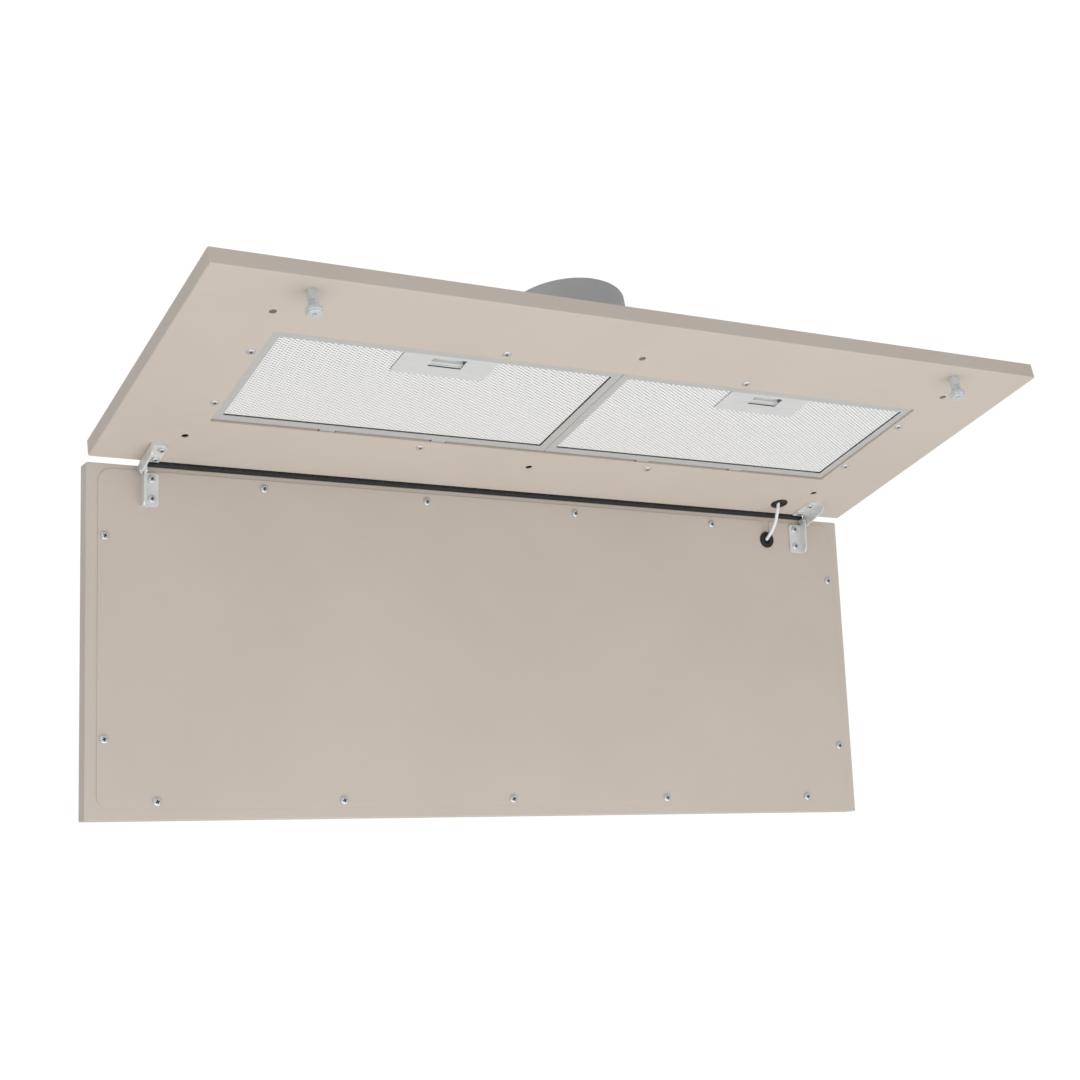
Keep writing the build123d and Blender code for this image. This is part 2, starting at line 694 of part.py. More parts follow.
def filter_frame(side):
    """Channel frame round the filter pack, with rear hooks and a slot for the latch."""
    x0, x1 = filter_bounds(side)
    cx = side * handle_x
    body = block(x0, x1, filter_y0, filter_y1, filter_bottom, filter_top)
    body = rounded(body, Axis.Z, 1.2)
    inside = block(x0 + rail, x1 - rail, filter_y0 + rail, filter_y1 - rail, 0, 12)
    channel = block(
        x0 + skin, x1 - skin, filter_y0 + skin, filter_y1 - skin,
        filter_bottom + skin, filter_top - skin,
    )
    frame = body - inside - channel
    for hook in hook_places:
        a, b = cx + hook - 8, cx + hook + 8
        frame = frame + block(a, b, filter_y1 - 2, filter_y1 + 4.2, 1.3, 2.3)
        frame = frame + block(a, b, filter_y1 - 0.5, tilt_y, tilt_z - 0.5, tilt_z + 0.5)
        frame = frame + lying(a, b, tilt_y, tilt_z, 0.7)
    return frame - block(cx - 11, cx + 11, filter_y0 - 1, filter_y0 + 2, 5.1, 7.4)


def filter_layer(side, z0, z1, pocket):
    """One layer of the filter pack, cut out round the latch pocket where it reaches it."""
    x0, x1 = filter_bounds(side)
    cx = side * handle_x
    layer = block(x0 + 1.4, x1 - 1.4, filter_y0 + 1.4, filter_y1 - 1.4, z0, z1)
    if pocket:
        layer = layer - block(cx - 22, cx + 22, filter_y0, handle_y0 + 31.2, z0 - 1, z1 + 1)
    return layer


def filter_handle(side):
    """Pressed latch plate with a finger slot and the pocket behind it."""
    cx = side * handle_x
    face = block(cx - 48.5, cx + 48.5, handle_y0, handle_y0 + 35.5, 1.9, 2.6)
    face = rounded(face, Axis.Z, 2)
    pocket = block(cx - 21, cx + 21, handle_y0, handle_y0 + 30.2, 2.3, 8.2)
    pocket = pocket - block(cx - 20.4, cx + 20.4, handle_y0 - 1, handle_y0 + 29.6, 2.6, 7.6)
    slot = block(cx - 17, cx + 17, slot_y0, slot_y0 + 15.8, 0, 5)
    return (face + pocket) - slot


slot_y0 = -70.6


def filter_latch(side):
    """Sliding latch: tongue at the front, finger tab in the slot."""
    cx = side * handle_x
    bar = block(cx - 10, cx + 10, tongue_y, -56, 5.5, 7.0)
    tab = block(cx - 16.5, cx + 16.5, -62.6, -56, 2.8, 5.6)
    tab = tab - block(cx - 15.5, cx + 15.5, -61.8, -56.8, 2, 4.4)
    return bar + tab


tongue_y = centre_y - opening_y + 0.45


def latch_spring(side):
    """Folded leaf spring that pushes the latch forward."""
    start, pitch, reach, folds = -55.8, 1.7, 4.5, 6
    points = [(reach * (-1) ** i, start + pitch * i) for i in range(folds + 1)]
    ribbon = FilletPolyline((0, start), *points[1:-1], (0, start + pitch * folds), radius=0.5)
    leaf = extrude(trace(ribbon, line_width=0.3), 1.8)
    return Pos(side * handle_x, 0, 5.2) * leaf


def filter_keeper(side):
    """Spring steel clip on the housing's front wall that the latch tongue rests on."""
    cx = side * handle_x
    wall = centre_y - housing_y + sheet
    leaf = block(cx - 12, cx + 12, wall + 0.05, wall + 0.65, 4.0, 24)
    return leaf + block(cx - 12, cx + 12, wall + 0.05, tongue_y + 0.6, 4.0, 4.6)


# --- write every node --------------------------------------------------------------

def write_tray():
    save("base_tray", base_tray())
    save("tray_hole_caps", *hole_caps())
    save("base_grommet", grommet(grommet_x, grommet_y, 9.6, sheet))
    save("rear_seal", rear_seal())


def write_housing():
    save("plenum_housing", plenum_housing())
    save("housing_screws", *[flush_screw(x, y) for x, y in housing_screws])
    save("housing_nuts", *[hex_nut(x, y) for x, y in housing_screws])
    save("duct_spigot", duct_spigot())
    top = housing_top + 2.5
    save("spigot_screws", *[pan_screw(x, y, top, 3.2, 1.8, 1.5, 7) for x, y in spigot_fixings])
    save("damper_spindle", damper_spindle())
    save("damper_flap_left", damper_flap(-1))
    save("damper_flap_right", damper_flap(1))


def write_blower():
    save("blower_casing", blower_casing())
    save("blower_cover", blower_cover())
    save("outlet_box", outlet_box())
    top = [pan_screw(x, y, housing_top, 3.2, 1.8, 1.5, 12) for x, y in blower_fixings]
    low = [pan_screw(x, y, blower_roof + 1.2, 2.8, 1.6, 1.35, 7) for x, y in motor_fixings]
    save("blower_screws", *top, *low)
    save("motor", motor())
    save("impeller", impeller())
    save("motor_shaft", motor_shaft())


def write_electrics():
    save("run_capacitor", run_capacitor())
    save("control_box", control_box())
    save("control_box_lid", control_box_lid())
    save("control_board", *control_board())
    save("terminal_block", terminal_block())
    save("mains_gland", gland(290, 46, 8.0, 11.0, 4.2))
    save("cable_gland", gland(grommet_x - 3, 31, 6.0, 8.0, 1.95))
    save("flap_cable", flap_cable())


def write_hinges():
    save("hinge_base_bracket_left", base_bracket(-1))
    save("hinge_base_bracket_right", base_bracket(1))
    save("base_bracket_screws", *[under_screw(x, y, -plate, 4.0, 1.8, 8) for x, y in bracket_holes])
    save("hinge_rivets", rivet(-1), rivet(1))
    save("standoffs", standoff(-1), standoff(1))
    save("magnet_cups", magnet_cup(-1), magnet_cup(1))
    save("magnets", magnet(-1), magnet(1))
    save("magnet_screws", magnet_screw(-1), magnet_screw(1))


def write_flap():
    save("flap_panel", hang * flap_panel())
    save("flap_cover", hang * flap_cover())
    save("cover_screws", *[hang * cover_screw(x, s) for x, s in cover_holes])
    save("hinge_flap_bracket_left", hang * flap_bracket(-1))
    save("hinge_flap_bracket_right", hang * flap_bracket(1))
    save("flap_bracket_screws", *[hang * bracket_screw(s, z) for s in (-1, 1) for z in flap_screw_z])
    save("flap_grommet", hang * flap_grommet())
    save("flap_stiffeners", *[hang * stiffener(x) for x in (-220, 220)])
    save("led_holder", hang * led_holder())
    save("led_lens", hang * led_lens())
    save("touch_control", *[hang * piece for piece in touch_glass()])


def write_filters():
    for side, name in ((-1, "left"), (1, "right")):
        save(f"filter_frame_{name}", filter_frame(side))
        lower = filter_layer(side, 2.7, 4.2, True)
        upper = filter_layer(side, 8.4, 9.3, False)
        save(f"filter_mesh_{name}", lower, upper)
        save(f"filter_pad_{name}", filter_layer(side, 4.3, 8.1, True))
        save(f"filter_handle_{name}", filter_handle(side))
        save(f"filter_latch_{name}", filter_latch(side))
        save(f"latch_spring_{name}", latch_spring(side))
        save(f"filter_keeper_{name}", filter_keeper(side))


write_tray()
write_housing()
write_blower()
write_electrics()
write_hinges()
write_flap()
write_filters()
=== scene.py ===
import json
import math
import bmesh
import bpy
from mathutils import Matrix, Vector


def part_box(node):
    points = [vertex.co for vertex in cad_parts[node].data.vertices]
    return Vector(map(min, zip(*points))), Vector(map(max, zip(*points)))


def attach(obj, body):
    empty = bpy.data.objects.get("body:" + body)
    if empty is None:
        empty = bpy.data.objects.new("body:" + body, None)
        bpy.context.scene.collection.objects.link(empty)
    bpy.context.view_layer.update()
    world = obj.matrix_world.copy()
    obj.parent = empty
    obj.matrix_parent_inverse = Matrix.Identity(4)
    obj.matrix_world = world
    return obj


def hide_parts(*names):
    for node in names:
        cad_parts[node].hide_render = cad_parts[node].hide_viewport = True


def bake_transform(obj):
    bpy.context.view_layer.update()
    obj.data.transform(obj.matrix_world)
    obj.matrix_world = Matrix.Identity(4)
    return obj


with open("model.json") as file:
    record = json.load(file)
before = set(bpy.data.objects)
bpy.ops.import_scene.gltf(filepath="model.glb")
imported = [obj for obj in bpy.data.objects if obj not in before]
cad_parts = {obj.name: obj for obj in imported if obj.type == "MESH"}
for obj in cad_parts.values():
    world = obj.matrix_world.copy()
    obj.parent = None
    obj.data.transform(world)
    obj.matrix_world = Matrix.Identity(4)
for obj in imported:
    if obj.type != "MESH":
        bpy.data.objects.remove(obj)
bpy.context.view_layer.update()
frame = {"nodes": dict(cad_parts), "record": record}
nodes = frame["nodes"]
mm = 0.001
print("frame loaded, nodes:", len(nodes))


# camera, cable, lights

studio = {
    "cameraPlace": (-0.94926, -1.38551, -0.83133),
    "cameraTurn": (113.141, 9.015, -28.433),
    "lens": 62.6,
    "floorHeight": -1.45,
    "backdropStrength": 1.02,
    "roomStrength": 0.575,
}


def placeCamera():
    bpy.ops.object.camera_add(location=studio["cameraPlace"])
    camera = bpy.context.object
    camera.name = "hoodCamera"
    camera.rotation_euler = [math.radians(a) for a in studio["cameraTurn"]]
    camera.data.lens = studio["lens"]
    camera.data.sensor_width = 36
    camera.data.clip_end = 60
    bpy.context.scene.camera = camera


def addLight(name, place, aim, size, power):
    bpy.ops.object.light_add(type="AREA", location=place)
    lamp = bpy.context.object
    lamp.name = name
    lamp.data.shape = "RECTANGLE"
    lamp.data.size, lamp.data.size_y = size
    lamp.data.energy = power
    lamp.rotation_euler = (Vector(aim) - Vector(place)).to_track_quat("-Z", "Y").to_euler()


def lightStudio():
    world = bpy.data.worlds.new("paleRoom")
    world.use_nodes = True
    tree = world.node_tree
    sky = tree.nodes["Background"]
    sky.inputs["Color"].default_value = (1, 1, 1, 1)
    sight = tree.nodes.new("ShaderNodeLightPath")
    level = tree.nodes.new("ShaderNodeMapRange")
    level.inputs["To Min"].default_value = studio["roomStrength"]
    level.inputs["To Max"].default_value = studio["backdropStrength"]
    tree.links.new(sight.outputs["Is Camera Ray"], level.inputs["Value"])
    tree.links.new(level.outputs["Result"], sky.inputs["Strength"])
    bpy.context.scene.world = world
    bpy.context.scene.view_settings.view_transform = "Standard"
    addLight("floorSoftbox", (0, -0.35, -1.38), (0, -0.2, 0), (3.0, 2.2), 22)
    addLight("frontSoftbox", (-1.2, -2.6, -0.35), (0, 0, -0.1), (2.0, 2.0), 4.4)
    addLight("highLeftSoftbox", (-2.0, -0.6, 1.7), (0, 0, 0), (1.6, 1.6), 4)
    addLight("rearSoftbox", (1.2, 2.3, 0.9), (0, 0.1, -0.1), (1.6, 1.6), 18)


# picking and shaping helpers

def clearPick():
    bpy.ops.object.select_all(action="DESELECT")


def pickOnly(piece):
    clearPick()
    piece.select_set(True)
    bpy.context.view_layer.objects.active = piece


def editOn(piece):
    pickOnly(piece)
    bpy.ops.object.mode_set(mode="EDIT")


def editOff():
    bpy.ops.object.mode_set(mode="OBJECT")


def pickFaces(piece, wanted):
    bpy.ops.mesh.select_mode(type="FACE")
    bpy.ops.mesh.select_all(action="DESELECT")
    shape = bmesh.from_edit_mesh(piece.data)
    shape.normal_update()
    for face in shape.faces:
        face.select_set(wanted(face))
    bmesh.update_edit_mesh(piece.data)


def pickEdges(piece, wanted):
    bpy.ops.mesh.select_mode(type="EDGE")
    bpy.ops.mesh.select_all(action="DESELECT")
    shape = bmesh.from_edit_mesh(piece.data)
    for edge in shape.edges:
        edge.select_set(wanted(edge))
    bmesh.update_edit_mesh(piece.data)


def applyModifier(piece, kind, **settings):
    pickOnly(piece)
    step = piece.modifiers.new(kind.title(), kind)
    for key, value in settings.items():
        setattr(step, key, value)
    bpy.ops.object.modifier_apply(modifier=step.name)


def smoothByAngle(piece, degrees=35):
    pickOnly(piece)
    bpy.ops.object.shade_smooth_by_angle(angle=math.radians(degrees))


def joinPieces(pieces):
    clearPick()
    for piece in pieces:
        piece.select_set(True)
    bpy.context.view_layer.objects.active = pieces[0]
    bpy.ops.object.join()
    return bpy.context.object


def settle(piece, name, body, slotName, material, *replaced):
    pickOnly(piece)
    bpy.ops.object.transform_apply(location=True, rotation=True, scale=True)
    piece.name = name
    piece.data.name = name
    if material:
        piece.data.materials.clear()
        piece.data.materials.append(material)
    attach(piece, body)
    if replaced:
        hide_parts(*replaced)
    return piece


def softCopy(node, width, segments=3):
    # a CAD node's shape with its sharp edges rounded over
    piece = bpy.data.objects.new(node + "_soft", nodes[node].data.copy())
    bpy.context.scene.collection.objects.link(piece)
    pickOnly(piece)
    bpy.ops.mesh.customdata_custom_splitnormals_clear()
    editOn(piece)
    bpy.ops.mesh.select_all(action="SELECT")
    bpy.ops.mesh.remove_doubles(threshold=0.002 * mm)
    bpy.ops.mesh.dissolve_limited(angle_limit=math.radians(0.4))
    bpy.ops.mesh.select_mode(type="EDGE")
    bpy.ops.mesh.select_all(action="DESELECT")
    bpy.ops.mesh.edges_select_sharp(sharpness=math.radians(42))
    bpy.ops.mesh.bevel(offset=width, segments=segments, affect="EDGES", clamp_overlap=True)
    editOff()
    smoothByAngle(piece, 40)
    applyModifier(piece, "WEIGHTED_NORMAL", mode="FACE_AREA", weight=100, keep_sharp=True)
    return piece


def seatPoints(node, outward):
    # outermost middle point of each loose solid of a node
    shape = bmesh.new()
    shape.from_mesh(nodes[node].data)
    bmesh.ops.remove_doubles(shape, verts=shape.verts, dist=0.001 * mm)
    across = Vector((1, 0, 0))
    up = outward.cross(across)
    waiting = set(shape.verts)
    points = []
    while waiting:
        group, edge = set(), [waiting.pop()]
        while edge:
            corner = edge.pop()
            group.add(corner)
            near = {e.other_vert(corner) for e in corner.link_edges} & waiting
            waiting -= near
            edge.extend(near)
        spans = [[c.co.dot(way) for c in group] for way in (across, up, outward)]
        middle = [(min(s) + max(s)) / 2 for s in spans]
        points.append(across * middle[0] + up * middle[1] + outward * max(spans[2]))
    shape.free()
    return sorted(points, key=lambda p: (round(p.x, 4), round(p.z, 4)))


def copiesAt(master, seats, turn, name):
    # one joined piece of copies, each turned about its own axis by another amount
    copies = []
    for index, seat in enumerate(seats):
        twin = bpy.data.objects.new(f"{name}{index}", master.data.copy())
        bpy.context.scene.collection.objects.link(twin)
        twin.matrix_world = Matrix.Translation(seat) @ turn @ Matrix.Rotation(index * 0.8 + 0.3, 4, "Z")
        copies.append(twin)
    bpy.data.objects.remove(master)
    clearPick()
    for twin in copies:
        twin.select_set(True)
    bpy.context.view_layer.objects.active = copies[0]
    bpy.ops.object.transform_apply(location=True, rotation=True, scale=True)
    bpy.ops.object.join()
    return bpy.context.object


flapSheet = {"edge": (0, 178.45 * mm, -2.65 * mm), "lean": math.radians(13.8)}
flapLie = Matrix.Translation(flapSheet["edge"]) @ Matrix.Rotation(flapSheet["lean"], 4, "X")
flapInward = (flapLie.to_3x3() @ Vector((0, -1, 0))).normalized()
faceDown = Matrix.Rotation(math.pi, 4, "X")
faceFlapIn = Matrix.Rotation(math.pi / 2 + flapSheet["lean"], 4, "X")


# materials

def newMaterial(name, rough, metal, **fixed):
    material = bpy.data.materials.new(name)
    material.use_nodes = True
    tree = material.node_tree
    shader = tree.nodes["Principled BSDF"]
    shader.inputs["Roughness"].default_value = rough
    shader.inputs["Metallic"].default_value = metal
    for key, value in fixed.items():
        shader.inputs[key.replace("_", " ")].default_value = value
    return material, tree, shader


def addNoise(tree, scale, detail=4.0, stretch=(1, 1, 1), kind="Noise"):
    place = tree.nodes.new("ShaderNodeTexCoord")
    mapping = tree.nodes.new("ShaderNodeMapping")
    mapping.inputs["Scale"].default_value = stretch
    tree.links.new(place.outputs["Object"], mapping.inputs["Vector"])
    noise = tree.nodes.new(f"ShaderNodeTex{kind}")
    noise.inputs["Scale"].default_value = scale
    if "Detail" in noise.inputs:
        noise.inputs["Detail"].default_value = detail
    tree.links.new(mapping.outputs["Vector"], noise.inputs["Vector"])
    return noise.outputs["Fac" if kind == "Noise" else "Distance"]


def addRamp(tree, factor, stops):
    ramp = tree.nodes.new("ShaderNodeValToRGB")
    tree.links.new(factor, ramp.inputs["Fac"])
    first, last = ramp.color_ramp.elements[0], ramp.color_ramp.elements[1]
    first.position, first.color = stops[0][0], (*stops[0][1], 1)
    last.position, last.color = stops[-1][0], (*stops[-1][1], 1)
    for place, colour in stops[1:-1]:
        ramp.color_ramp.elements.new(place).color = (*colour, 1)
    return ramp.outputs["Color"]


def addRange(tree, factor, low, high, start=0.3, end=0.7):
    span = tree.nodes.new("ShaderNodeMapRange")
    span.inputs["From Min"].default_value = start
    span.inputs["From Max"].default_value = end
    span.inputs["To Min"].default_value = low
    span.inputs["To Max"].default_value = high
    tree.links.new(factor, span.inputs["Value"])
    return span.outputs["Result"]


def addBump(tree, shader, height, strength, depth, under=None):
    bump = tree.nodes.new("ShaderNodeBump")
    bump.inputs["Strength"].default_value = strength
    bump.inputs["Distance"].default_value = depth
    tree.links.new(height, bump.inputs["Height"])
    if under:
        tree.links.new(under, bump.inputs["Normal"])
    tree.links.new(bump.outputs["Normal"], shader.inputs["Normal"])
    return bump.outputs["Normal"]


def shades(base, *factors):
    return [tuple(min(1, c * f) for c in base) for f in factors]


def powderCoat(name, base):
    material, tree, shader = newMaterial(name, 0.5, 0.0, Specular_IOR_Level=0.42)
    low, mid, high = shades(base, 0.975, 1.0, 1.02)
    clouds = addNoise(tree, 7, 5)
    tone = addRamp(tree, clouds, [(0.32, low), (0.5, mid), (0.68, high)])
    tree.links.new(tone, shader.inputs["Base Color"])
    peel = addNoise(tree, 900, 2)
    smudge = addNoise(tree, 22, 6)
    tree.links.new(addRange(tree, smudge, 0.46, 0.56), shader.inputs["Roughness"])
    wave = addBump(tree, shader, addNoise(tree, 55, 2), 0.05, 0.4 * mm)
    addBump(tree, shader, peel, 0.12, 0.08 * mm, wave)
    return material


def platedSteel(name, base, rough, metal, streak=(1, 1, 1)):
    material, tree, shader = newMaterial(name, rough, metal)
    low, mid, high = shades(base, 0.93, 1.0, 1.04)
    cloud = addNoise(tree, 90, 4)
    tone = addRamp(tree, cloud, [(0.3, low), (0.52, mid), (0.72, high)])
    tree.links.new(tone, shader.inputs["Base Color"])
    scratch = addNoise(tree, 1500, 3, streak)
    tree.links.new(addRange(tree, scratch, rough - 0.06, rough + 0.08), shader.inputs["Roughness"])
    addBump(tree, shader, scratch, 0.05, 0.02 * mm)
    return material


def brushedAluminium(name, base, rough, streak, metal):
    material, tree, shader = newMaterial(name, rough, metal)
    low, mid, high = shades(base, 0.93, 1.0, 1.05)
    lines = addNoise(tree, 1800, 2, streak)
    tree.links.new(addRamp(tree, lines, [(0.3, low), (0.5, mid), (0.7, high)]), shader.inputs["Base Color"])
    haze = addNoise(tree, 30, 4)
    tree.links.new(addRange(tree, haze, rough - 0.06, rough + 0.08), shader.inputs["Roughness"])
    addBump(tree, shader, lines, 0.08, 0.04 * mm)
    return material


def galvanisedSheet():
    material, tree, shader = newMaterial("galvanisedSheet", 0.4, 0.9)
    flakes = addNoise(tree, 95, 2, (1, 1, 1), "Voronoi")
    grey = [(0.1, (0.50, 0.52, 0.54)), (0.45, (0.62, 0.64, 0.66)), (0.9, (0.72, 0.73, 0.75))]
    tree.links.new(addRamp(tree, flakes, grey), shader.inputs["Base Color"])
    tree.links.new(addRange(tree, flakes, 0.3, 0.5, 0.1, 0.8), shader.inputs["Roughness"])
    addBump(tree, shader, addNoise(tree, 400, 3), 0.08, 0.06 * mm)
    return material


def wirePad():
    material, tree, shader = newMaterial("wirePad", 0.5, 0.7)
    cells = addNoise(tree, 420, 2, (1, 1, 1), "Voronoi")
    grey = [(0.05, (0.10, 0.10, 0.10)), (0.4, (0.17, 0.17, 0.17)), (0.8, (0.26, 0.26, 0.26))]
    tree.links.new(addRamp(tree, cells, grey), shader.inputs["Base Color"])
    addBump(tree, shader, cells, 0.8, 0.9 * mm)
    return material


def softRubber():
    material, tree, shader = newMaterial("softRubber", 0.62, 0.0, Specular_IOR_Level=0.35)
    dust = addNoise(tree, 300, 6)
    black = [(0.35, (0.012, 0.012, 0.013)), (0.62, (0.028, 0.028, 0.029)), (0.8, (0.06, 0.06, 0.06))]
    tree.links.new(addRamp(tree, dust, black), shader.inputs["Base Color"])
    tree.links.new(addRange(tree, dust, 0.55, 0.72), shader.inputs["Roughness"])
    addBump(tree, shader, addNoise(tree, 1400, 3), 0.25, 0.08 * mm)
    return material


def mouldedPlastic(name, base, rough, grain=900, strength=0.15):
    material, tree, shader = newMaterial(name, rough, 0.0)
    low, mid, high = shades(base, 0.94, 1.0, 1.05)
    flow = addNoise(tree, 14, 4)
    tree.links.new(addRamp(tree, flow, [(0.3, low), (0.5, mid), (0.7, high)]), shader.inputs["Base Color"])
    haze = addNoise(tree, 60, 4)
    tree.links.new(addRange(tree, haze, rough - 0.05, rough + 0.07), shader.inputs["Roughness"])
    addBump(tree, shader, addNoise(tree, grain, 2), strength, 0.06 * mm)
    return material


def castFerrite():
    material, tree, shader = newMaterial("castFerrite", 0.6, 0.3)
    grain = addNoise(tree, 700, 6)
    dark = [(0.3, (0.03, 0.03, 0.032)), (0.7, (0.09, 0.09, 0.095))]
    tree.links.new(addRamp(tree, grain, dark), shader.inputs["Base Color"])
    addBump(tree, shader, grain, 0.35, 0.1 * mm)
    return material


def lightDiffuser():
    material, tree, shader = newMaterial("lightDiffuser", 0.28, 0.0, Transmission_Weight=0.15, IOR=1.49)
    haze = addNoise(tree, 45, 4)
    milk = [(0.3, (0.86, 0.86, 0.84)), (0.7, (0.93, 0.93, 0.91))]
    tree.links.new(addRamp(tree, haze, milk), shader.inputs["Base Color"])
    addBump(tree, shader, addNoise(tree, 1100, 2), 0.12, 0.05 * mm)
    return material


def touchPanel():
    material, tree, shader = newMaterial("touchPanel", 0.08, 0.0, Coat_Weight=0.6, Coat_Roughness=0.04)
    tint = addNoise(tree, 25, 3)
    black = [(0.3, (0.010, 0.010, 0.012)), (0.7, (0.018, 0.018, 0.021))]
    tree.links.new(addRamp(tree, tint, black), shader.inputs["Base Color"])
    tree.links.new(addRange(tree, addNoise(tree, 70, 5), 0.06, 0.16), shader.inputs["Roughness"])
    return material


def plugsAndHoleShade():
    # grey plugs in the front row; behind them the caps are painted near-black, a painted shade standing for
    # the dark inside open holes
    material, tree, shader = newMaterial("plugsAndHoleShade", 0.6, 0.0)
    place = tree.nodes.new("ShaderNodeTexCoord")
    axes = tree.nodes.new("ShaderNodeSeparateXYZ")
    tree.links.new(place.outputs["Object"], axes.inputs["Vector"])
    along = addRange(tree, axes.outputs["Y"], 0, 1, -0.05, 0.05)
    # the near-black stop is painted shade for the open rear holes; the grey stop is the front plugs' colour
    tone = addRamp(tree, along, [(0.2, (0.62, 0.60, 0.56)), (0.8, (0.03, 0.03, 0.03))])
    tree.links.new(tone, shader.inputs["Base Color"])
    addBump(tree, shader, addNoise(tree, 800, 3), 0.2, 0.05 * mm)
    return material


champagneCoat = powderCoat("champagneCoat", (0.610, 0.545, 0.478))
zincPlate = platedSteel("zincPlate", (0.70, 0.73, 0.76), 0.2, 0.8)
standoffZinc = platedSteel("standoffZinc", (0.70, 0.735, 0.765), 0.22, 0.45)
driveShade = platedSteel("driveShade", (0.07, 0.075, 0.085), 0.4, 0.5)
bracketSteel = platedSteel("bracketSteel", (0.78, 0.79, 0.79), 0.34, 0.3, (0.15, 1, 1))
frameAluminium = brushedAluminium("frameAluminium", (0.60, 0.605, 0.60), 0.38, (0.02, 1, 1), 0.3)
handleAluminium = brushedAluminium("handleAluminium", (0.74, 0.755, 0.757), 0.42, (0.03, 1, 1), 0.25)
meshAluminium = brushedAluminium("meshAluminium", (0.97, 0.97, 0.97), 0.45, (0.3, 0.3, 1), 0.05)
galvanised = galvanisedSheet()
padMetal = wirePad()
blackRubber = softRubber()
ductPlastic = mouldedPlastic("ductPlastic", (0.46, 0.46, 0.463), 0.40)
blackMould = mouldedPlastic("blackMould", (0.022, 0.022, 0.024), 0.45)
boxMould = mouldedPlastic("boxMould", (0.70, 0.70, 0.68), 0.48)
cableSheath = mouldedPlastic("cableSheath", (0.86, 0.87, 0.90), 0.36, 500, 0.06)
boardGreen = mouldedPlastic("boardGreen", (0.02, 0.16, 0.07), 0.4, 300, 0.4)
motorEnamel = powderCoat("motorEnamel", (0.035, 0.036, 0.04))
ferrite = castFerrite()
diffuser = lightDiffuser()
touchGlass = touchPanel()
plugGreyAndHoleShade = plugsAndHoleShade()
print("materials made:", len(bpy.data.materials))


# flap cable: from the gland through the tray's grommet to the flap's grommet

cableRun = {
    "points": [(343, 84.65, 31), (343, 127.5, 31), (346, 151.5, -7), (347, 167, -23.5), (347, 184, -28.6)],
    "radius": 1.9 * mm,
    "length": 0.1245,
}


def makeCable():
    points = [Vector(p) * mm for p in cableRun["points"]]
    line = bpy.data.curves.new("flapCableLine", "CURVE")
    line.dimensions = "3D"
    line.resolution_u = 24
    spline = line.splines.new("NURBS")
    spline.points.add(len(points) - 1)
    for corner, point in zip(spline.points, points):
        corner.co = (*point, 1)
    spline.order_u = 3
    spline.use_endpoint_u = True
    route = bpy.data.objects.new("flapCableRoute", line)
    bpy.context.scene.collection.objects.link(route)
    bpy.context.view_layer.update()
    bare = bpy.data.meshes.new_from_object(route)
    line.bevel_depth = cableRun["radius"]
    line.bevel_resolution = 6
    line.use_fill_caps = True
    pickOnly(route)
    bpy.ops.object.convert(target="MESH")
    cable = bpy.context.object
    cable.name = cable.data.name = "flapCableSheath"
    cable.data.materials.clear()
    cable.data.materials.append(cableSheath)
    smoothByAngle(cable, 50)
    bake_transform(cable)
    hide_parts("flap_cable")


placeCamera()
lightStudio()
makeCable()
print("camera, lights and cable placed")


# screws

def headSize(radius, height, roundOff, drive, shank):
    return {"radius": radius * mm, "height": height * mm, "round": roundOff * mm,
            "drive": drive * mm, "shank": shank * mm}


panHead = headSize(4.2, 2.5, 1.5, 5.4, 2.0)
flushHead = headSize(4.5, 1.3, 0.95, 4.8, 1.8)
lowHead = headSize(3.9, 1.6, 0.7, 4.6, 1.9)
bracketHead = headSize(3.9, 2.0, 1.2, 5.0, 1.9)
screwDrive = {"slot": 1.35 * mm, "depth": 1.7 * mm, "shade": 0.3 * mm}
shankReach = 3.5 * mm


def crossDriveScrew(size):
    # head's crown at z = 0, shank below; a tapered cross recess is cut into the crown
    radius, height = size["radius"], size["height"]
    clearPick()
    bpy.ops.mesh.primitive_cylinder_add(
        vertices=40, radius=radius, depth=height, location=(0, 0, -height / 2))
    screw = bpy.context.object
    bpy.ops.object.transform_apply(location=True)
    editOn(screw)
    pickEdges(screw, lambda e: all(v.co.z > -0.01 * mm for v in e.verts))
    bpy.ops.mesh.bevel(offset=size["round"], segments=5, profile=0.45, affect="EDGES")
    pickFaces(screw, lambda f: f.normal.z > 0.99)
    bpy.ops.mesh.inset(thickness=(radius - size["round"]) * 0.5, depth=0.12 * mm)
    pickFaces(screw, lambda f: f.normal.z < -0.99)
    bpy.ops.mesh.inset(thickness=radius - size["shank"])
    bpy.ops.mesh.extrude_region_move(TRANSFORM_OT_translate={"value": (0, 0, -shankReach)})
    editOff()
    crown = max(v.co.z for v in screw.data.vertices)
    for quarter in (0, math.pi / 2):
        cutter = driveBlade(size["drive"], quarter)
        applyModifier(screw, "BOOLEAN", object=cutter, operation="DIFFERENCE", solver="EXACT")
        bpy.data.objects.remove(cutter)
    editOn(screw)
    bpy.ops.mesh.select_all(action="SELECT")
    bpy.ops.transform.translate(value=(0, 0, -crown))
    editOff()
    smoothByAngle(screw, 38)
    screw.data.materials.append(zincPlate)
    screw.data.materials.append(driveShade)
    reach = size["drive"] / 2

    def inRecess(face):
        spot = face.calc_center_median()
        deep = -screwDrive["depth"] - 0.2 * mm < spot.z < -screwDrive["shade"]
        return deep and spot.xy.length < reach and face.normal.z > -0.5

    editOn(screw)
    pickFaces(screw, inRecess)
    screw.active_material_index = 1
    bpy.ops.object.material_slot_assign()
    editOff()
    return screw


def driveBlade(reach, turn):
    clearPick()
    bpy.ops.mesh.primitive_cube_add(size=1, location=(0, 0, 0))
    blade = bpy.context.object
    blade.scale = (reach, screwDrive["slot"], 2 * screwDrive["depth"])
    bpy.ops.object.transform_apply(scale=True)
    editOn(blade)
    pickFaces(blade, lambda f: f.normal.z < -0.9)
    bpy.ops.transform.resize(value=(0.45, 0.6, 1))
    editOff()
    blade.rotation_euler = (0, 0, turn)
    bpy.ops.object.transform_apply(rotation=True)
    return blade


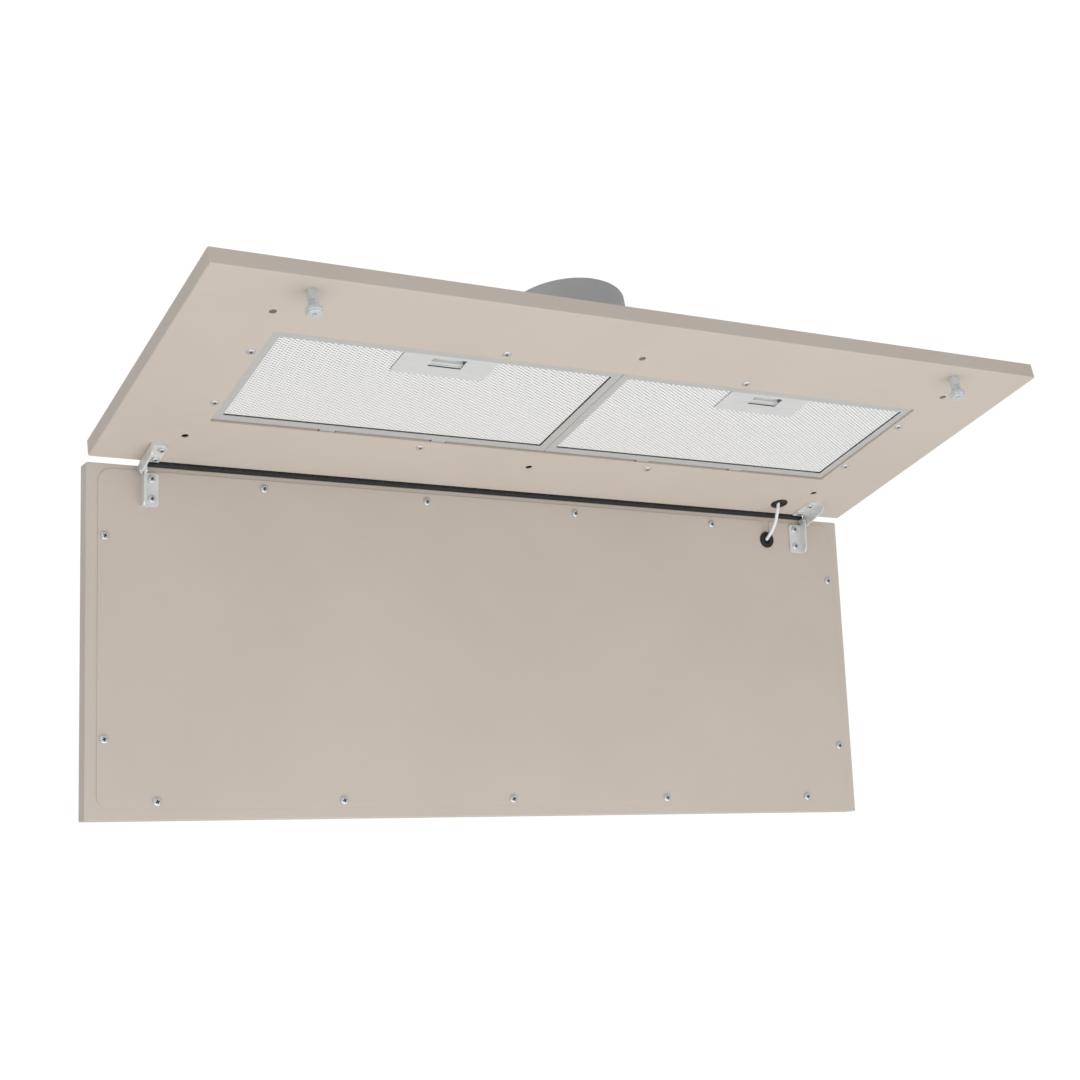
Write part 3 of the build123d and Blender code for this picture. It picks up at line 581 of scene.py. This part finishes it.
def makeScrews():
    down = Vector((0, 0, -1))
    rows = [
        ("coverScrews", "cover_screws", panHead, "flap", flapInward, faceFlapIn),
        ("flapBracketScrews", "flap_bracket_screws", bracketHead, "flap", flapInward, faceFlapIn),
        ("housingScrews", "housing_screws", flushHead, "housing", down, faceDown),
        ("baseBracketScrews", "base_bracket_screws", lowHead, "housing", down, faceDown),
    ]
    for name, node, size, body, outward, turn in rows:
        seats = seatPoints(node, outward)
        piece = copiesAt(crossDriveScrew(size), seats, turn, name)
        settle(piece, name, body, "screw_steel", None, node)
        print(name, len(seats))


# rivets, standoffs and magnet cups

rivetHead = {"shank": 3 * mm, "flare": 1.5, "height": 1.0 * mm, "crown": 0.6 * mm,
             "crownShare": 0.72, "rim": 1.2 * mm, "dimple": 0.5 * mm, "play": 0.2 * mm}


def makeRivets():
    masters = []
    for side in (-1, 1):
        low, high = sideBox("hinge_rivets", side)
        span = high.x - low.x - 2 * rivetHead["play"]
        clearPick()
        bpy.ops.mesh.primitive_cylinder_add(vertices=40, radius=rivetHead["shank"], depth=span)
        body = bpy.context.object
        flare, share = rivetHead["flare"], rivetHead["crownShare"]
        sunk = rivetHead["height"] + rivetHead["dimple"]
        editOn(body)
        for way in (-1, 1):
            pickFaces(body, lambda f: f.normal.z * way > 0.9)
            bpy.ops.mesh.extrude_region_move(TRANSFORM_OT_translate={"value": (0, 0, 0)})
            bpy.ops.transform.resize(value=(flare, flare, 1))
            bpy.ops.transform.translate(value=(0, 0, -way * sunk))
            for rise in (rivetHead["height"], rivetHead["crown"]):
                bpy.ops.mesh.extrude_region_move(TRANSFORM_OT_translate={"value": (0, 0, way * rise)})
            bpy.ops.transform.resize(value=(share, share, 1))
            bpy.ops.mesh.inset(thickness=rivetHead["rim"])
            bpy.ops.transform.translate(value=(0, 0, -way * rivetHead["dimple"]))
        editOff()
        body.rotation_euler = (0, math.pi / 2, 0)
        body.location = (low + high) / 2
        bpy.ops.object.transform_apply(location=True, rotation=True)
        masters.append(body)
    piece = joinPieces(masters)
    smoothByAngle(piece, 40)
    print("rivets made:", len(masters))
    settle(piece, "hingeRivets", "housing", "screw_steel", zincPlate, "hinge_rivets")


def sideBox(node, side):
    # box of the part of a node that lies on one side of x = 0
    corners = [v.co for v in nodes[node].data.vertices if v.co.x * side > 0]
    low = Vector([min(c[i] for c in corners) for i in range(3)])
    high = Vector([max(c[i] for c in corners) for i in range(3)])
    return low, high


standoffRod = {"corner": 5.2 * mm, "chamfer": 0.35 * mm, "flat": (0.06, 0.3), "flatDepth": 1.3 * mm}


def makeStandoffs():
    pieces = []
    for side in (-1, 1):
        low, high = sideBox("standoffs", side)
        cupLow, _ = sideBox("magnet_cups", side)
        x, y = (low.x + high.x) / 2, (low.y + high.y) / 2
        foot = max(low.z, cupLow.z)
        drop = high.z - foot
        clearPick()
        bpy.ops.mesh.primitive_cylinder_add(
            vertices=6, radius=standoffRod["corner"], depth=drop, location=(x, y, (high.z + foot) / 2))
        rod = bpy.context.object
        bpy.ops.object.transform_apply(location=True)
        editOn(rod)
        pickEdges(rod, lambda e: any(v.co.z < foot + 0.01 * mm for v in e.verts))
        bpy.ops.mesh.bevel(offset=standoffRod["chamfer"], segments=2, affect="EDGES")
        flatLow, flatHigh = (foot + drop * share for share in standoffRod["flat"])
        for height in (flatLow, flatHigh):
            bpy.ops.mesh.select_all(action="SELECT")
            bpy.ops.mesh.bisect(plane_co=(x, y, height), plane_no=(0, 0, 1))
        facing = Vector((-0.5, -0.866, 0))

        def onFlat(face):
            return flatLow < face.calc_center_median().z < flatHigh and face.normal.dot(facing) > 0.98

        pickFaces(rod, onFlat)
        bpy.ops.mesh.extrude_region_shrink_fatten(
            TRANSFORM_OT_shrink_fatten={"value": -standoffRod["flatDepth"]})
        editOff()
        smoothByAngle(rod, 32)
        applyModifier(rod, "WEIGHTED_NORMAL", mode="FACE_AREA", weight=100, keep_sharp=True)
        pieces.append(rod)
    settle(joinPieces(pieces), "standoffRods", "housing", "bracket_steel", standoffZinc, "standoffs")


magnetCup = {"step": 1.7 * mm, "shoulder": 0.9 * mm, "edge": 0.4 * mm, "narrow": 0.6 * mm,
             "chamfer": 0.3 * mm, "hole": 3.0 * mm, "sink": 0.4 * mm, "sinkDepth": 0.5 * mm,
             "bore": 1.6 * mm}


def makeCups():
    pieces = []
    for side in (-1, 1):
        low, high = sideBox("magnet_cups", side)
        x, y = (low.x + high.x) / 2, (low.y + high.y) / 2
        radius, height = (high.y - low.y) / 2, high.z - low.z
        step, chamfer = magnetCup["step"], magnetCup["chamfer"]
        clearPick()
        bpy.ops.mesh.primitive_cylinder_add(
            vertices=56, radius=radius, depth=height - step, location=(x, y, (low.z + step + high.z) / 2))
        cup = bpy.context.object
        bpy.ops.object.transform_apply(location=True)
        editOn(cup)
        pickEdges(cup, lambda e: all(v.co.z > high.z - 0.01 * mm for v in e.verts))
        bpy.ops.mesh.bevel(offset=magnetCup["shoulder"], segments=4, affect="EDGES")
        pickEdges(cup, lambda e: all(v.co.z < low.z + step + 0.01 * mm for v in e.verts))
        bpy.ops.mesh.bevel(offset=magnetCup["edge"], segments=3, affect="EDGES")
        pickFaces(cup, lambda f: f.normal.z < -0.99)
        bpy.ops.mesh.inset(thickness=magnetCup["narrow"], depth=0)
        bpy.ops.mesh.extrude_region_move(TRANSFORM_OT_translate={"value": (0, 0, chamfer - step)})
        bpy.ops.mesh.inset(thickness=chamfer, depth=chamfer)
        bpy.ops.mesh.inset(thickness=radius - magnetCup["hole"] - chamfer, depth=0)
        bpy.ops.mesh.inset(thickness=magnetCup["sink"], depth=-magnetCup["sinkDepth"])
        bpy.ops.mesh.extrude_region_move(TRANSFORM_OT_translate={"value": (0, 0, magnetCup["bore"])})
        editOff()
        smoothByAngle(cup, 38)
        pieces.append(cup)
    settle(joinPieces(pieces), "magnetCups", "housing", "bracket_steel", standoffZinc, "magnet_cups")


# grommets

grommetShape = {"lip": 1.8 * mm, "round": 1.1 * mm, "rim": 1.5 * mm, "dish": 0.9 * mm,
                "bore": 3.9 * mm, "boreDepth": 3.2 * mm, "throat": 0.3 * mm, "neck": 7.4 * mm}


def makeGrommet(name, node, body, outward, turn, lipRadius, depth):
    seat = seatPoints(node, outward)[0]
    clearPick()
    lip = grommetShape["lip"]
    bpy.ops.mesh.primitive_cylinder_add(vertices=56, radius=lipRadius, depth=lip, location=(0, 0, -lip / 2))
    piece = bpy.context.object
    bpy.ops.object.transform_apply(location=True)
    editOn(piece)
    pickEdges(piece, lambda e: all(v.co.z > -0.01 * mm for v in e.verts))
    bpy.ops.mesh.bevel(offset=grommetShape["round"], segments=5, affect="EDGES")
    pickFaces(piece, lambda f: f.normal.z > 0.99)
    bpy.ops.mesh.inset(thickness=grommetShape["rim"], depth=0)
    slope = lipRadius - grommetShape["round"] - grommetShape["rim"] - grommetShape["bore"]
    bpy.ops.mesh.inset(thickness=slope, depth=-grommetShape["dish"])
    bpy.ops.mesh.inset(thickness=grommetShape["throat"], depth=-0.25 * mm)
    bpy.ops.mesh.extrude_region_move(TRANSFORM_OT_translate={"value": (0, 0, -grommetShape["boreDepth"])})
    wide = math.pi * grommetShape["bore"] ** 2
    pickFaces(piece, lambda f: f.normal.z < -0.99 and f.calc_area() > wide)
    bpy.ops.mesh.inset(thickness=lipRadius - grommetShape["neck"], depth=0)
    bpy.ops.mesh.extrude_region_move(TRANSFORM_OT_translate={"value": (0, 0, -depth)})
    editOff()
    smoothByAngle(piece, 40)
    piece.matrix_world = Matrix.Translation(seat) @ turn
    settle(piece, name, body, "black_rubber", blackRubber, node)


# grease filters

expandedSheet = {"cellLong": 6.06 * mm, "cellShort": 3.55 * mm, "strand": 0.56 * mm, "slant": 0.22,
                 "thick": 0.4 * mm, "rail": 9 * mm, "tuck": 1.0 * mm, "slit": 1.1 * mm,
                 "overlap": 1.4 * mm, "rise": 0.75 * mm}
pocketHole = {"half": 26 * mm, "short": 2 * mm}
padHole = {"half": 22 * mm, "short": 3 * mm}
padInset = {"side": 1.3 * mm, "hooks": 4.2 * mm, "thin": 1.2 * mm, "rise": 0.5 * mm, "cuts": 5}


def slantHoles(sheet):
    # each hole's rim tips a little, so that the strands lie like louvres
    shape = bmesh.from_edit_mesh(sheet.data)
    for face in shape.faces:
        if face.select:
            middle = face.calc_center_median()
            for corner in face.verts:
                corner.co.z += (corner.co.y - middle.y) * expandedSheet["slant"]
    bmesh.update_edit_mesh(sheet.data)


def makeExpandedMesh(side):
    frameLow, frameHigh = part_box(f"filter_frame_{side}")
    meshLow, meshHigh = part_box(f"filter_mesh_{side}")
    plateLow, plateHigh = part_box(f"filter_handle_{side}")
    inner = expandedSheet["rail"] - expandedSheet["tuck"]
    slit = expandedSheet["tuck"] + expandedSheet["slit"]
    x0, x1 = frameLow.x + inner, frameHigh.x - inner - slit
    overlap = expandedSheet["overlap"]
    y0, y1 = meshLow.y + inner - overlap, meshHigh.y - inner + overlap - slit
    centre = Vector(((x0 + x1) / 2, (y0 + y1) / 2, 0))
    long, short = expandedSheet["cellLong"], expandedSheet["cellShort"]
    count = int((x1 - x0) / long + (y1 - y0) / short) + 4
    clearPick()
    bpy.ops.mesh.primitive_grid_add(x_subdivisions=count, y_subdivisions=count, size=count)
    sheet = bpy.context.object
    sheet.rotation_euler = (0, 0, math.pi / 4)
    bpy.ops.object.transform_apply(rotation=True)
    sheet.scale = (long / math.sqrt(2), short / math.sqrt(2), 1)
    sheet.location = centre + Vector((0, 0, meshLow.z + expandedSheet["rise"]))
    bpy.ops.object.transform_apply(location=True, scale=True)
    editOn(sheet)
    for corner, away in (((x0, 0, 0), (-1, 0, 0)), ((x1, 0, 0), (1, 0, 0)),
                         ((0, y0, 0), (0, -1, 0)), ((0, y1, 0), (0, 1, 0))):
        bpy.ops.mesh.select_all(action="SELECT")
        bpy.ops.mesh.bisect(plane_co=corner, plane_no=away, clear_outer=True)
    plateMiddle = (plateLow.x + plateHigh.x) / 2

    def overPocket(face):
        spot = face.calc_center_median()
        return abs(spot.x - plateMiddle) < pocketHole["half"] and spot.y < plateHigh.y - pocketHole["short"]

    pickFaces(sheet, overPocket)
    bpy.ops.mesh.delete(type="FACE")
    bpy.ops.mesh.select_all(action="SELECT")
    bpy.ops.mesh.inset(thickness=expandedSheet["strand"], use_individual=True)
    slantHoles(sheet)
    bpy.ops.mesh.delete(type="FACE")
    editOff()
    applyModifier(sheet, "SOLIDIFY", thickness=expandedSheet["thick"], offset=0)
    smoothByAngle(sheet, 25)
    settle(sheet, f"expandedMesh_{side}", f"filter_{side}", "filter_mesh", meshAluminium,
           f"filter_mesh_{side}")
    print("expanded mesh", side, len(sheet.data.polygons))


def makePad(side):
    # knitted aluminium blanket behind the mesh, a little short of the rails
    low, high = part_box(f"filter_pad_{side}")
    _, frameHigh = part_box(f"filter_frame_{side}")
    plateLow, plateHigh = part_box(f"filter_handle_{side}")
    short = expandedSheet["rail"] + padInset["side"]
    x0, x1 = low.x, frameHigh.x - short
    y0, y1 = low.y, frameHigh.y - padInset["hooks"] - short
    middle = ((x0 + x1) / 2, (y0 + y1) / 2, (low.z + high.z) / 2 + padInset["rise"])
    clearPick()
    bpy.ops.mesh.primitive_cube_add(size=1, location=middle)
    pad = bpy.context.object
    pad.scale = (x1 - x0, y1 - y0, high.z - low.z - padInset["thin"])
    bpy.ops.object.transform_apply(location=True, scale=True)
    editOn(pad)
    plateMiddle = (plateLow.x + plateHigh.x) / 2
    half, rear = padHole["half"], plateHigh.y - padHole["short"]
    for x in (plateMiddle - half, plateMiddle + half):
        bpy.ops.mesh.select_all(action="SELECT")
        bpy.ops.mesh.bisect(plane_co=(x, 0, 0), plane_no=(1, 0, 0))
    bpy.ops.mesh.select_all(action="SELECT")
    bpy.ops.mesh.bisect(plane_co=(0, rear, 0), plane_no=(0, 1, 0))

    def inHole(face):
        spot = face.calc_center_median()
        return abs(spot.x - plateMiddle) < half - 0.1 * mm and spot.y < rear - 0.1 * mm

    pickFaces(pad, inHole)
    bpy.ops.mesh.delete(type="FACE")
    bpy.ops.mesh.select_mode(type="EDGE")
    bpy.ops.mesh.select_all(action="DESELECT")
    bpy.ops.mesh.select_non_manifold()
    bpy.ops.mesh.bridge_edge_loops()
    bpy.ops.mesh.select_all(action="SELECT")
    bpy.ops.mesh.normals_make_consistent(inside=False)
    bpy.ops.mesh.subdivide(number_cuts=padInset["cuts"])
    editOff()
    settle(pad, f"padBlanket_{side}", f"filter_{side}", "filter_mesh", padMetal, f"filter_pad_{side}")


sliderPlate = {"inset": 0.2 * mm, "reach": 16 * mm, "below": 0.65 * mm, "thick": 1.1 * mm}


def wideSlider(side):
    # the sliding latch with the plate that closes the finger slot from behind
    slider = softCopy(f"filter_latch_{side}", 0.25 * mm, 2)
    low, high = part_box(f"filter_latch_{side}")
    inset = sliderPlate["inset"]
    x0, x1 = low.x + inset, high.x - inset
    y0, y1 = high.y - sliderPlate["reach"], high.y - inset
    middle = ((x0 + x1) / 2, (y0 + y1) / 2, high.z - sliderPlate["below"])
    clearPick()
    bpy.ops.mesh.primitive_cube_add(size=1, location=middle)
    plate = bpy.context.object
    plate.scale = (x1 - x0, y1 - y0, sliderPlate["thick"])
    bpy.ops.object.transform_apply(location=True, scale=True)
    return joinPieces([slider, plate])


def makeFilters():
    for side in ("left", "right"):
        makeExpandedMesh(side)
        makePad(side)
        rim = softCopy(f"filter_frame_{side}", 0.35 * mm)
        settle(rim, f"filterRim_{side}", f"filter_{side}", "filter_aluminium", frameAluminium,
               f"filter_frame_{side}")
        plate = softCopy(f"filter_handle_{side}", 0.2 * mm, 2)
        settle(plate, f"latchPlate_{side}", f"filter_{side}", "filter_aluminium", handleAluminium,
               f"filter_handle_{side}")
        slider = wideSlider(side)
        settle(slider, f"latchSlider_{side}", f"latch_{side}", "filter_aluminium", handleAluminium,
               f"filter_latch_{side}")


# sheet metal, brackets, housing

softPieces = [
    ("trayShell", "base_tray", "housing", "body_paint", champagneCoat, 0.45 * mm),
    ("flapShell", "flap_panel", "flap", "body_paint", champagneCoat, 0.6 * mm),
    ("flapCoverSheet", "flap_cover", "flap", "body_paint", champagneCoat, 0.38 * mm),
    ("plenumBox", "plenum_housing", "housing", "zinc_sheet", galvanised, 0.4 * mm),
    ("outletDuctBox", "outlet_box", "housing", "zinc_sheet", galvanised, 0.3 * mm),
    ("controlCase", "control_box", "housing", "box_plastic", boxMould, 0.6 * mm),
    ("controlLid", "control_box_lid", "housing", "box_plastic", boxMould, 0.5 * mm),
    ("trayBracketLeft", "hinge_base_bracket_left", "housing", "bracket_steel", bracketSteel, 0.5 * mm),
    ("trayBracketRight", "hinge_base_bracket_right", "housing", "bracket_steel", bracketSteel, 0.5 * mm),
    ("flapBracketLeft", "hinge_flap_bracket_left", "flap", "bracket_steel", bracketSteel, 0.5 * mm),
    ("flapBracketRight", "hinge_flap_bracket_right", "flap", "bracket_steel", bracketSteel, 0.5 * mm),
    ("rearSealStrip", "rear_seal", "housing", "black_rubber", blackRubber, 0.35 * mm),
    ("lightLens", "led_lens", "flap", "lens", diffuser, 0.25 * mm),
]


def makeSoftPieces():
    for name, node, body, slotName, material, width in softPieces:
        settle(softCopy(node, width), name, body, slotName, material, node)
        print("softened", name)


# finishes of the pieces that keep their CAD shape

finishes = {
    "body_paint": champagneCoat, "zinc_sheet": galvanised, "bracket_steel": bracketSteel,
    "screw_steel": zincPlate, "filter_aluminium": handleAluminium, "filter_mesh": padMetal,
    "black_rubber": blackRubber, "duct_plastic": ductPlastic, "black_plastic": blackMould,
    "box_plastic": boxMould, "cable_white": cableSheath, "motor_paint": motorEnamel,
    "magnet_ferrite": ferrite, "board_green": boardGreen, "lens": diffuser, "touch_glass": touchGlass,
}


def finishNodes():
    slots = {row["node"]: row["material_slot"] for row in frame["record"]["subparts"]}
    for name, node in nodes.items():
        # the hole caps get grey front plugs and painted hole shade behind
        material = plugGreyAndHoleShade if name == "tray_hole_caps" else finishes[slots[name]]
        if not node.data.materials:
            node.data.materials.append(material)
        for index in range(len(node.material_slots)):
            node.material_slots[index].material = material


def makeFloor():
    clearPick()
    bpy.ops.mesh.primitive_plane_add(size=14, location=(0, 0, studio["floorHeight"]))
    floor = bpy.context.object
    floor.name = "studioFloor"
    material, tree, shader = newMaterial("paleFloor", 0.8, 0.0)
    tone = addRamp(tree, addNoise(tree, 3, 3), [(0.3, (0.80, 0.80, 0.80)), (0.7, (0.84, 0.84, 0.84))])
    tree.links.new(tone, shader.inputs["Base Color"])
    floor.data.materials.append(material)


makeScrews()
makeRivets()
makeStandoffs()
makeCups()
makeGrommet("trayGrommet", "base_grommet", "housing", Vector((0, 0, -1)), faceDown, 9.6 * mm, 2.6 * mm)
makeGrommet("flapGrommetRing", "flap_grommet", "flap", flapInward, faceFlapIn, 9.3 * mm, 2.6 * mm)
makeFilters()
makeSoftPieces()
finishNodes()
makeFloor()
